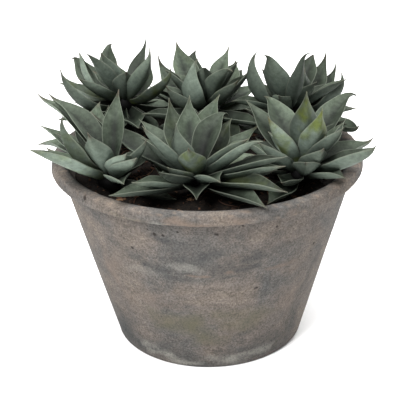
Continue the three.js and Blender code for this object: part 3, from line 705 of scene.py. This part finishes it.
def half_width(share, length, width):
    """Half a blade's width: widest near the middle, drawn out to a fine point."""
    outline = ROOT_FLARE * (1 - share) ** 3 + np.sin(np.pi * share**WIDEST_POWER)
    past = np.maximum(0, share - DRAWN_FROM) / (1 - DRAWN_FROM)
    drawn_out = 1 - DRAWN_OUT * past**DRAWN_POWER
    widest = width * LEAF_WIDTH / 2 * (length / USUAL_LENGTH) ** LENGTH_POWER
    return np.maximum(0, widest * outline * drawn_out / PEAK)


def leaf_line(at, turn, rise, length, curl, hook, sweep, width, steps):
    """A leaf's centre line: points, directions out of its upper face, sideways, half widths."""
    upright = min(1, max(0, rise / 90))
    root = at + direction(turn, 0) * mix(ROOT_RADIUS, upright)
    root[2] += mix(ROOT_HEIGHT, upright)
    share = (np.minimum(np.arange(steps + 1), steps - 1) + 0.5) / steps
    tip_share = np.maximum(0, share - HOOK_FROM) / (1 - HOOK_FROM)
    facing = turn + sweep * (share - 0.5)
    along = direction(facing, rise + curl * (share - 0.5) + hook * tip_share**2)
    sideways = direction(facing + 90, 0 * share)
    normal = np.cross(along, sideways)
    moves = np.vstack([np.zeros(3), along[:-1] * length / steps])
    half = half_width(np.arange(steps + 1) / steps, length, width)
    return root + np.cumsum(moves, axis=0), normal, sideways, half


def blade_points(line, across):
    """Points of a blade's upper face: one row for each step, one column for each across."""
    points, normal, sideways, half = line
    share = np.arange(len(points)) / (len(points) - 1)
    fold = np.radians(FOLD_ROOT - FOLD_EASE * np.sin(np.pi * np.minimum(1, share * FOLD_EARLY)))
    flat = (half * np.cos(fold))[:, None] * across
    raised = (half * np.sin(fold))[:, None] * np.abs(across) ** CUP_POWER
    return points[:, None] + sideways[:, None] * flat[..., None] + normal[:, None] * raised[..., None]


def to_line(points, start, end):
    """Distance from each point to the stretch between start and end."""
    along = end - start
    share = np.clip((points - start) @ along / (along @ along), 0, 1)
    return np.linalg.norm(points - start - share[:, None] * along, axis=1)


def any_near(points, others, gap):
    low, high = points.min(0) - gap, points.max(0) + gap
    others = others[np.all((others > low) & (others < high), axis=1)]
    if not len(others):
        return False
    apart = points[:, None] - others
    return bool((np.einsum("ijk,ijk->ij", apart, apart) < gap * gap).any())


def has_room(rosette, grid, placed, reach):
    """Whether a leaf is clear of soil, rim, the other rosettes and the leaves of its own."""
    x, y, z = grid.T
    over_rim = np.hypot(x, y) > SOIL_RADIUS - CLEAR_SOIL
    lowest = np.where(over_rim, POT_HEIGHT + CLEAR_RIM, soil_height(x, y) + CLEAR_SOIL)
    if (z < lowest).any() or (np.abs(grid[:, :2]) > reach).any():
        return False
    for other, (at, _) in ROSETTES.items():
        if other == rosette:
            continue
        if (np.linalg.norm(grid - at - CORE_MIDDLE, axis=1) < CLEAR_CORE).any():
            return False
        if (to_line(grid, *stem_line(at)) < CLEAR_STEM).any():
            return False
    own_from = OWN_FROM * len(ACROSS)
    for other, _, other_grid in placed:
        if other == rosette:
            if any_near(grid[own_from:], other_grid[own_from:], CLEAR_OWN):
                return False
        elif any_near(grid, other_grid, CLEAR_OTHERS):
            return False
    return True


def place_leaf(rosette, placed, leaf, reach):
    """Puts a leaf where it is wanted, or bent a little until it is clear, or not at all."""
    for more_turn, more_rise in BENDS:
        bent = [leaf[0] + more_turn, leaf[1] + more_rise, *leaf[2:]]
        grid = blade_points(leaf_line(ROSETTES[rosette][0], *bent, STEPS), ACROSS).reshape(-1, 3)
        if has_room(rosette, grid, placed, reach):
            placed.append((rosette, bent, grid))
            return


drawn = SEED


def draw(low, high):
    """The next number of a run that is the same for the same seed."""
    global drawn
    drawn = drawn * 16807 % 2147483647
    return low + (high - low) * drawn / 2147483647


# First the listed leaves, then a golden-angle spiral of short leaves that fills what is
# left, from drooping ones at the bottom to half upright ones. The heart stays open.
placed = []
for rosette, (at, leaves) in ROSETTES.items():
    for leaf in leaves:
        place_leaf(rosette, placed, leaf, math.inf)
starts = {rosette: draw(0, 360) for rosette in ROSETTES}
for i in range(SPIRAL_LEAVES):
    share = (i + 0.5) / SPIRAL_LEAVES
    for rosette in ROSETTES:
        turn = (starts[rosette] + i * GOLDEN_ANGLE) % 360
        rise = mix(SPIRAL_RISE, share) + draw(-SPIRAL_STRAY, SPIRAL_STRAY)
        shaded = max(0, math.sin(math.radians(turn)))
        length = mix(SPIRAL_LENGTH, share**2) * (1 - BACK_SHORTER * shaded) * draw(*SPIRAL_GROWN)
        curl = draw(*SPIRAL_CURL)
        hook = draw(*SPIRAL_HOOK)
        sweep = draw(*SPIRAL_SWEEP)
        nearest = max((direction(turn, rise) @ direction(leaf[0], leaf[1])
                       for other, leaf, _ in placed if other == rosette), default=-1)
        if nearest <= math.cos(math.radians(SPIRAL_SPREAD)):
            place_leaf(rosette, placed, [turn, rise, length, curl, hook, sweep, 1], REACH)

# The blade that shows: the rule's upper face in finer steps, a rounded back, a rolled edge
# and a hair-thin tip.
FINE_STEPS = 30
FINE_ACROSS = np.sin(np.linspace(-np.pi / 2, np.pi / 2, 11))
EDGE = 0.7  # thickness of the blade's edge
WAVE_HEIGHT = 0.35  # of the waves along both edges
WAVE_LENGTHS = (9, 14)  # radians of wave in a blade's length
EDGE_RISE = 0.9  # how far the edges turn up
CHANNEL_DEPTH = 0.6  # how far the middle is sunk
looks = random.Random(7)


def fine_blade(leaf, at):
    """Points of a closed blade, rows from root to tip, and each point's place on it."""
    line = leaf_line(at, *leaf, FINE_STEPS)
    normal, half = line[1][:, None], line[3][:, None]
    share = (np.arange(FINE_STEPS + 1) / FINE_STEPS)[:, None]
    upper = blade_points(line, FINE_ACROSS)
    wave = np.sin(share * looks.uniform(*WAVE_LENGTHS) + looks.uniform(0, 6))
    waves = WAVE_HEIGHT * wave * FINE_ACROSS**3
    rolled = EDGE_RISE * FINE_ACROSS**4 - CHANNEL_DEPTH * (1 - FINE_ACROSS**2) ** 3
    upper = upper + normal * ((waves + rolled) * np.minimum(1, half / 6))[..., None]
    thick = np.minimum(mix(THICKNESS, share), 0.5 + 0.45 * half)
    edge = np.minimum(EDGE, thick)
    depth = edge + (thick - edge) * (1 - FINE_ACROSS**2)
    lower = upper - normal * depth[..., None]
    sideways = line[2][:, None]
    left = (upper[:, :1] + lower[:, :1]) / 2 - sideways * 0.3
    right = (upper[:, -1:] + lower[:, -1:]) / 2 + sideways * 0.3
    rows = np.concatenate([upper, right, lower[:, ::-1], left], axis=1)
    across = np.concatenate([FINE_ACROSS, [1.0], FINE_ACROSS[::-1], [-1.0]])
    under = np.concatenate([np.zeros(len(FINE_ACROSS)), [0.5], np.ones(len(FINE_ACROSS)), [0.5]])
    place = np.stack(np.broadcast_arrays(across, share, under), axis=-1)
    return rows, place


CORE_PROFILE = [(8, -6), (12, -2), (13, 3), (10, 9), (5, 13)]
CORE_SIDES = 24
STEM_SIDES = 16
STEM_ROWS = 12


def stem_and_core(at):
    """Rings of a stem and of the heart that the leaves grow from, about where they meet."""
    foot, top_end = stem_line(at)
    around = np.linspace(0, -360, STEM_SIDES, endpoint=False)
    rings = direction(around, 0 * around)
    share = np.linspace(0, 1, STEM_ROWS)[:, None]
    knobbly = 1 - 0.12 * np.abs(np.sin(share * 23 + np.radians(around)))
    stem = (foot + (top_end - foot) * share)[:, None] + rings * (STEM_RADIUS * knobbly)[..., None]
    around = np.linspace(0, -360, CORE_SIDES, endpoint=False)
    rings = direction(around, 0 * around)
    core = np.array([at + rings * radius + [0, 0, height] for radius, height in CORE_PROFILE])
    return stem, core


# A fleshy leaf with a waxy bloom: matt and grey-green, paler on its back and towards its
# edges. Its channel and the part near its root are painted with shade, deep green to near
# black, over a deeper green. A thin pale line along each edge is partly its pale margin and
# partly a painted highlight. Some leaves are yellow-green in patches, and most have a brown point.
leaf_skin, leaf_output = new_material("bloomed succulent leaf")
where = add(leaf_skin, "Attribute", attribute_name="leaf_place")
across, along, under = add(leaf_skin, "SeparateXYZ", {"Vector": where.outputs["Vector"]}).outputs
own = add(leaf_skin, "Attribute", attribute_name="leaf_own")
own_tone, own_yellow, own_red = add(leaf_skin, "SeparateXYZ", {"Vector": own.outputs["Vector"]}).outputs
place = add(leaf_skin, "TexCoord").outputs["Object"]
to_edge = add(leaf_skin, "Math", {0: across}, operation="ABSOLUTE").outputs[0]
# Painted shade: each ramp darkens to near black towards the root, where the leaves crowd together, and the
# channel's ramp is darkest, painted shade in the channel over a deeper green.
channel_green_and_shade = add(leaf_skin, "ValToRGB", {"Fac": along}, stops=[
    (0.0, "#020202"), (0.3, "#070907"), (0.6, "#151a14"), (0.85, "#2d352b")])
side_green_and_root_shade = add(leaf_skin, "ValToRGB", {"Fac": along}, stops=[
    (0.0, "#060805"), (0.3, "#1c221b"), (0.65, "#3e463b"), (0.95, "#464d42")])
back_green_and_root_shade = add(leaf_skin, "ValToRGB", {"Fac": along}, stops=[
    (0.0, "#0a0d0a"), (0.16, "#2f362f"), (0.45, "#5a655c"), (0.95, "#4f574d")])
channel = add(leaf_skin, "MapRange", {"Value": to_edge, "From Min": 0.05, "From Max": 0.75,
                                      "To Min": 0.0, "To Max": 1.0})
top_green = add(leaf_skin, "Mix", {"Factor": channel.outputs[0], "A": channel_green_and_shade.outputs["Color"],
                                   "B": side_green_and_root_shade.outputs["Color"]}, data_type="RGBA")
green = add(leaf_skin, "Mix", {"Factor": under, "A": top_green.outputs["Result"],
                               "B": back_green_and_root_shade.outputs["Color"]}, data_type="RGBA")
bloom = add(leaf_skin, "TexNoise", {"Vector": place, "Scale": per(16), "Detail": 5.0, "Roughness": 0.6})
bloom_part = add(leaf_skin, "MapRange", {"Value": bloom.outputs["Fac"], "From Min": 0.42,
                                         "From Max": 0.68, "To Min": 0.0, "To Max": 0.35})
bloom_share = add(leaf_skin, "Math", {0: bloom_part.outputs[0], 1: along}, operation="MULTIPLY")
waxy = add(leaf_skin, "Mix", {"Factor": bloom_share.outputs[0], "A": green.outputs["Result"],
                              "B": "#5a6257"}, data_type="RGBA")
ripe_place = add(leaf_skin, "TexNoise", {"Vector": place, "Scale": per(15), "Detail": 3.0})
ripe_part = add(leaf_skin, "MapRange", {"Value": ripe_place.outputs["Fac"], "From Min": 0.45,
                                        "From Max": 0.65, "To Min": 0.0, "To Max": 1.0})
ripe_share = add(leaf_skin, "Math", {0: ripe_part.outputs[0], 1: own_yellow}, operation="MULTIPLY")
ripened = add(leaf_skin, "Mix", {"Factor": ripe_share.outputs[0], "A": waxy.outputs["Result"],
                                 "B": "#4b5425"}, data_type="RGBA")
tip_part = add(leaf_skin, "MapRange", {"Value": along, "From Min": 0.86, "From Max": 1.0,
                                       "To Min": 0.0, "To Max": 1.0})
tip_share = add(leaf_skin, "Math", {0: tip_part.outputs[0], 1: own_red}, operation="MULTIPLY")
tipped = add(leaf_skin, "Mix", {"Factor": tip_share.outputs[0], "A": ripened.outputs["Result"],
                                "B": "#331f16"}, data_type="RGBA")
flecks = add(leaf_skin, "TexNoise", {"Vector": place, "Scale": per(4), "Detail": 4.0, "Roughness": 0.7})
fleck_tone = add(leaf_skin, "MapRange", {"Value": flecks.outputs["Fac"], "From Min": 0.3,
                                         "From Max": 0.7, "To Min": 0.72, "To Max": 1.28})
# Painted light and shade: one half of each leaf is made lighter and the other darker, by a share of its
# own.
half_shade = add(leaf_skin, "Attribute", attribute_name="leaf_half_shade")
tone_and_half_shade = add(leaf_skin, "Math", {0: half_shade.outputs["Fac"], 1: across, 2: own_tone},
                operation="MULTIPLY_ADD")
full_tone = add(leaf_skin, "Math", {0: tone_and_half_shade.outputs[0], 1: fleck_tone.outputs[0]},
                operation="MULTIPLY")
tone = add(leaf_skin, "VectorMath", {0: tipped.outputs["Result"], "Scale": full_tone.outputs[0]},
           operation="SCALE")
# A pale line along each edge: partly the leaf's pale margin, partly a painted highlight where the rounded
# rim catches light.
edge_highlight_part = add(leaf_skin, "MapRange", {"Value": to_edge, "From Min": 0.94, "From Max": 1.0,
                                        "To Min": 0.0, "To Max": 0.4})
edge_highlighted = add(leaf_skin, "Mix", {"Factor": edge_highlight_part.outputs[0], "A": tone.outputs["Vector"],
                               "B": "#6b7064"}, data_type="RGBA")
# Painted shade: the stem is painted near black, standing in for the shade under the rosette.
stem_shade_part = add(leaf_skin, "MapRange", {"Value": along, "From Min": -0.5, "From Max": -0.1,
                                        "To Min": 1.0, "To Max": 0.0})
coloured = add(leaf_skin, "Mix", {"Factor": stem_shade_part.outputs[0], "A": edge_highlighted.outputs["Result"],
                                  "B": "#100c08"}, data_type="RGBA")
vein_place = add(leaf_skin, "CombineXYZ", {"X": across, "Y": along, "Z": own_tone})
vein_scale = add(leaf_skin, "Mapping", {"Vector": vein_place.outputs[0], "Scale": (9.0, 1.0, 40.0)})
veins = add(leaf_skin, "TexNoise", {"Vector": vein_scale.outputs[0], "Scale": 1.0, "Detail": 3.0})
vein_bump = add(leaf_skin, "Bump", {"Height": veins.outputs["Fac"], "Strength": 0.2,
                                    "Distance": 0.6 * MM})
roughness = add(leaf_skin, "MapRange", {"Value": bloom.outputs["Fac"], "From Min": 0.3,
                                        "From Max": 0.7, "To Min": 0.55, "To Max": 0.7})
flesh = add(leaf_skin, "BsdfPrincipled", {"Base Color": coloured.outputs["Result"],
                                          "Roughness": roughness.outputs[0],
                                          "Specular IOR Level": 0.12,
                                          "Normal": vein_bump.outputs[0]})
leaf_skin.node_tree.links.new(flesh.outputs[0], leaf_output.inputs["Surface"])

# How leaves differ: shares of tone, of yellow in the ripest and in the rest, of brown at the
# point, and of painted light and shade between a leaf's two halves. The ripest are named by
# their number in each list, and are known again by their shape and by a turn within the furthest bend.
RIPEST = {"front": (9,), "left": (7,), "right": (3, 5, 7), "back_left": (12,)}
FURTHEST_TURN = max(turn for turn, _ in BENDS)
OWN_TONE = (0.55, 1.45)
YELLOW_RIPEST = (0.7, 1.0)
YELLOW_REST = (-1.2, 0.4)
BROWN_POINT = (0.3, 1.0)
HALF_SHADE_SPREAD = (-0.4, 0.4)

for rosette, (at, _) in ROSETTES.items():
    points, faces, places, own_looks, half_shade = [], [], [], [], []
    count = 0
    ripest = [ROSETTES[rosette][1][number] for number in RIPEST.get(rosette, ())]
    for other, leaf, _ in placed:
        if other != rosette:
            continue
        rows, place = fine_blade(leaf, at)
        faces += tube_faces(rows.shape[0], rows.shape[1], count)
        points.append(rows.reshape(-1, 3))
        places.append(place.reshape(-1, 3))
        ripe = any(leaf[2:] == wanted[2:] and abs(leaf[0] - wanted[0]) <= FURTHEST_TURN
                   for wanted in ripest)
        yellow = max(0, looks.uniform(*(YELLOW_RIPEST if ripe else YELLOW_REST)))
        look = (looks.uniform(*OWN_TONE), yellow, looks.uniform(*BROWN_POINT))
        own_looks.append(np.tile(look, (len(points[-1]), 1)))
        half_shade.append(np.full(len(points[-1]), looks.uniform(*HALF_SHADE_SPREAD)))
        count += len(points[-1])
    # The stem sits far below the leaves' roots and the heart just below them, so the material paints both
    # near black: painted shade under the rosette.
    for rows, shade in zip(stem_and_core(at), (-1.0, -0.05)):
        faces += tube_faces(rows.shape[0], rows.shape[1], count)
        points.append(rows.reshape(-1, 3))
        places.append(np.tile((0, shade, 0), (len(points[-1]), 1)))
        own_looks.append(np.tile((1, 0, 0), (len(points[-1]), 1)))
        half_shade.append(np.zeros(len(points[-1])))
        count += len(points[-1])
    name = rosette + "_rosette"
    mesh = bpy.data.meshes.new(name)
    mesh.from_pydata((np.concatenate(points) * MM).tolist(), [], faces)
    for attribute_name, values in (("leaf_place", places), ("leaf_own", own_looks)):
        attribute = mesh.attributes.new(attribute_name, "FLOAT_VECTOR", "POINT")
        attribute.data.foreach_set("vector", np.concatenate(values).astype(np.float32).ravel())
    mesh.shade_smooth()
    plant = bpy.data.objects.new(name, mesh)
    bpy.context.collection.objects.link(plant)
    plant.data.materials.append(leaf_skin)
    mark_points(plant, "leaf_half_shade", np.concatenate(half_shade))
    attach(plant, "root")
    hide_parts("rosette_" + rosette)

# Floor, light and camera
# A pale matt floor under broad soft light, seen as in the photograph.
bpy.ops.mesh.primitive_plane_add(size=12, location=(0, 0, 0))
floor = bpy.context.object
floor.name = "floor"
paper, paper_output = new_material("matt white paper")
sheet = add(paper, "BsdfPrincipled", {"Base Color": "#fafafa", "Roughness": 0.9})
paper.node_tree.links.new(sheet.outputs[0], paper_output.inputs["Surface"])
floor.data.materials.append(paper)


def soft_light(name, place, aim, size, power):
    light = bpy.data.lights.new(name, "AREA")
    light.shape = "DISK"
    light.size = size
    light.energy = power
    lamp = bpy.data.objects.new(name, light)
    lamp.location = place
    lamp.rotation_euler = (Vector(aim) - Vector(place)).to_track_quat("-Z", "Y").to_euler()
    bpy.context.collection.objects.link(lamp)


soft_light("key", (-0.85, -1.5, 1.85), (0, 0, 0.1), 0.9, 88)
soft_light("back", (0.9, 1.2, 1.3), (0.1, 0, 0), 1.0, 22)
soft_light("top", (0.25, 0.1, 2.2), (0, 0, 0.15), 1.6, 66)
ROOM_LIGHT = 0.46
world = bpy.data.worlds.new("white room")
world.use_nodes = True
world.node_tree.nodes["Background"].inputs["Color"].default_value = linear("#ffffff")
world.node_tree.nodes["Background"].inputs["Strength"].default_value = ROOM_LIGHT
bpy.context.scene.world = world
bpy.context.scene.view_settings.view_transform = "Standard"

AIM_HEIGHT = 0.13
CAMERA_RISE = 24.0
CAMERA_DISTANCE = 0.966
CAMERA_ROLL = 0.93
CAMERA_FOCAL = 1074 / 400  # focal length over frame width
CAMERA_SHIFT = (-0.0195, -0.0175)
SENSOR_WIDTH = 36
camera_data = bpy.data.cameras.new("camera")
camera_data.sensor_width = SENSOR_WIDTH
camera_data.lens = CAMERA_FOCAL * SENSOR_WIDTH
camera_data.shift_x, camera_data.shift_y = CAMERA_SHIFT
camera = bpy.data.objects.new("camera", camera_data)
rise = math.radians(CAMERA_RISE)
camera.location = (0, -CAMERA_DISTANCE * math.cos(rise), AIM_HEIGHT + CAMERA_DISTANCE * math.sin(rise))
camera.rotation_mode = "XYZ"
level = (Vector((0, 0, AIM_HEIGHT)) - camera.location).to_track_quat("-Z", "Y")
camera.rotation_euler = (level.to_matrix() @ Matrix.Rotation(
    math.radians(-CAMERA_ROLL), 3, "Z")).to_euler()
bpy.context.collection.objects.link(camera)
bpy.context.scene.camera = camera
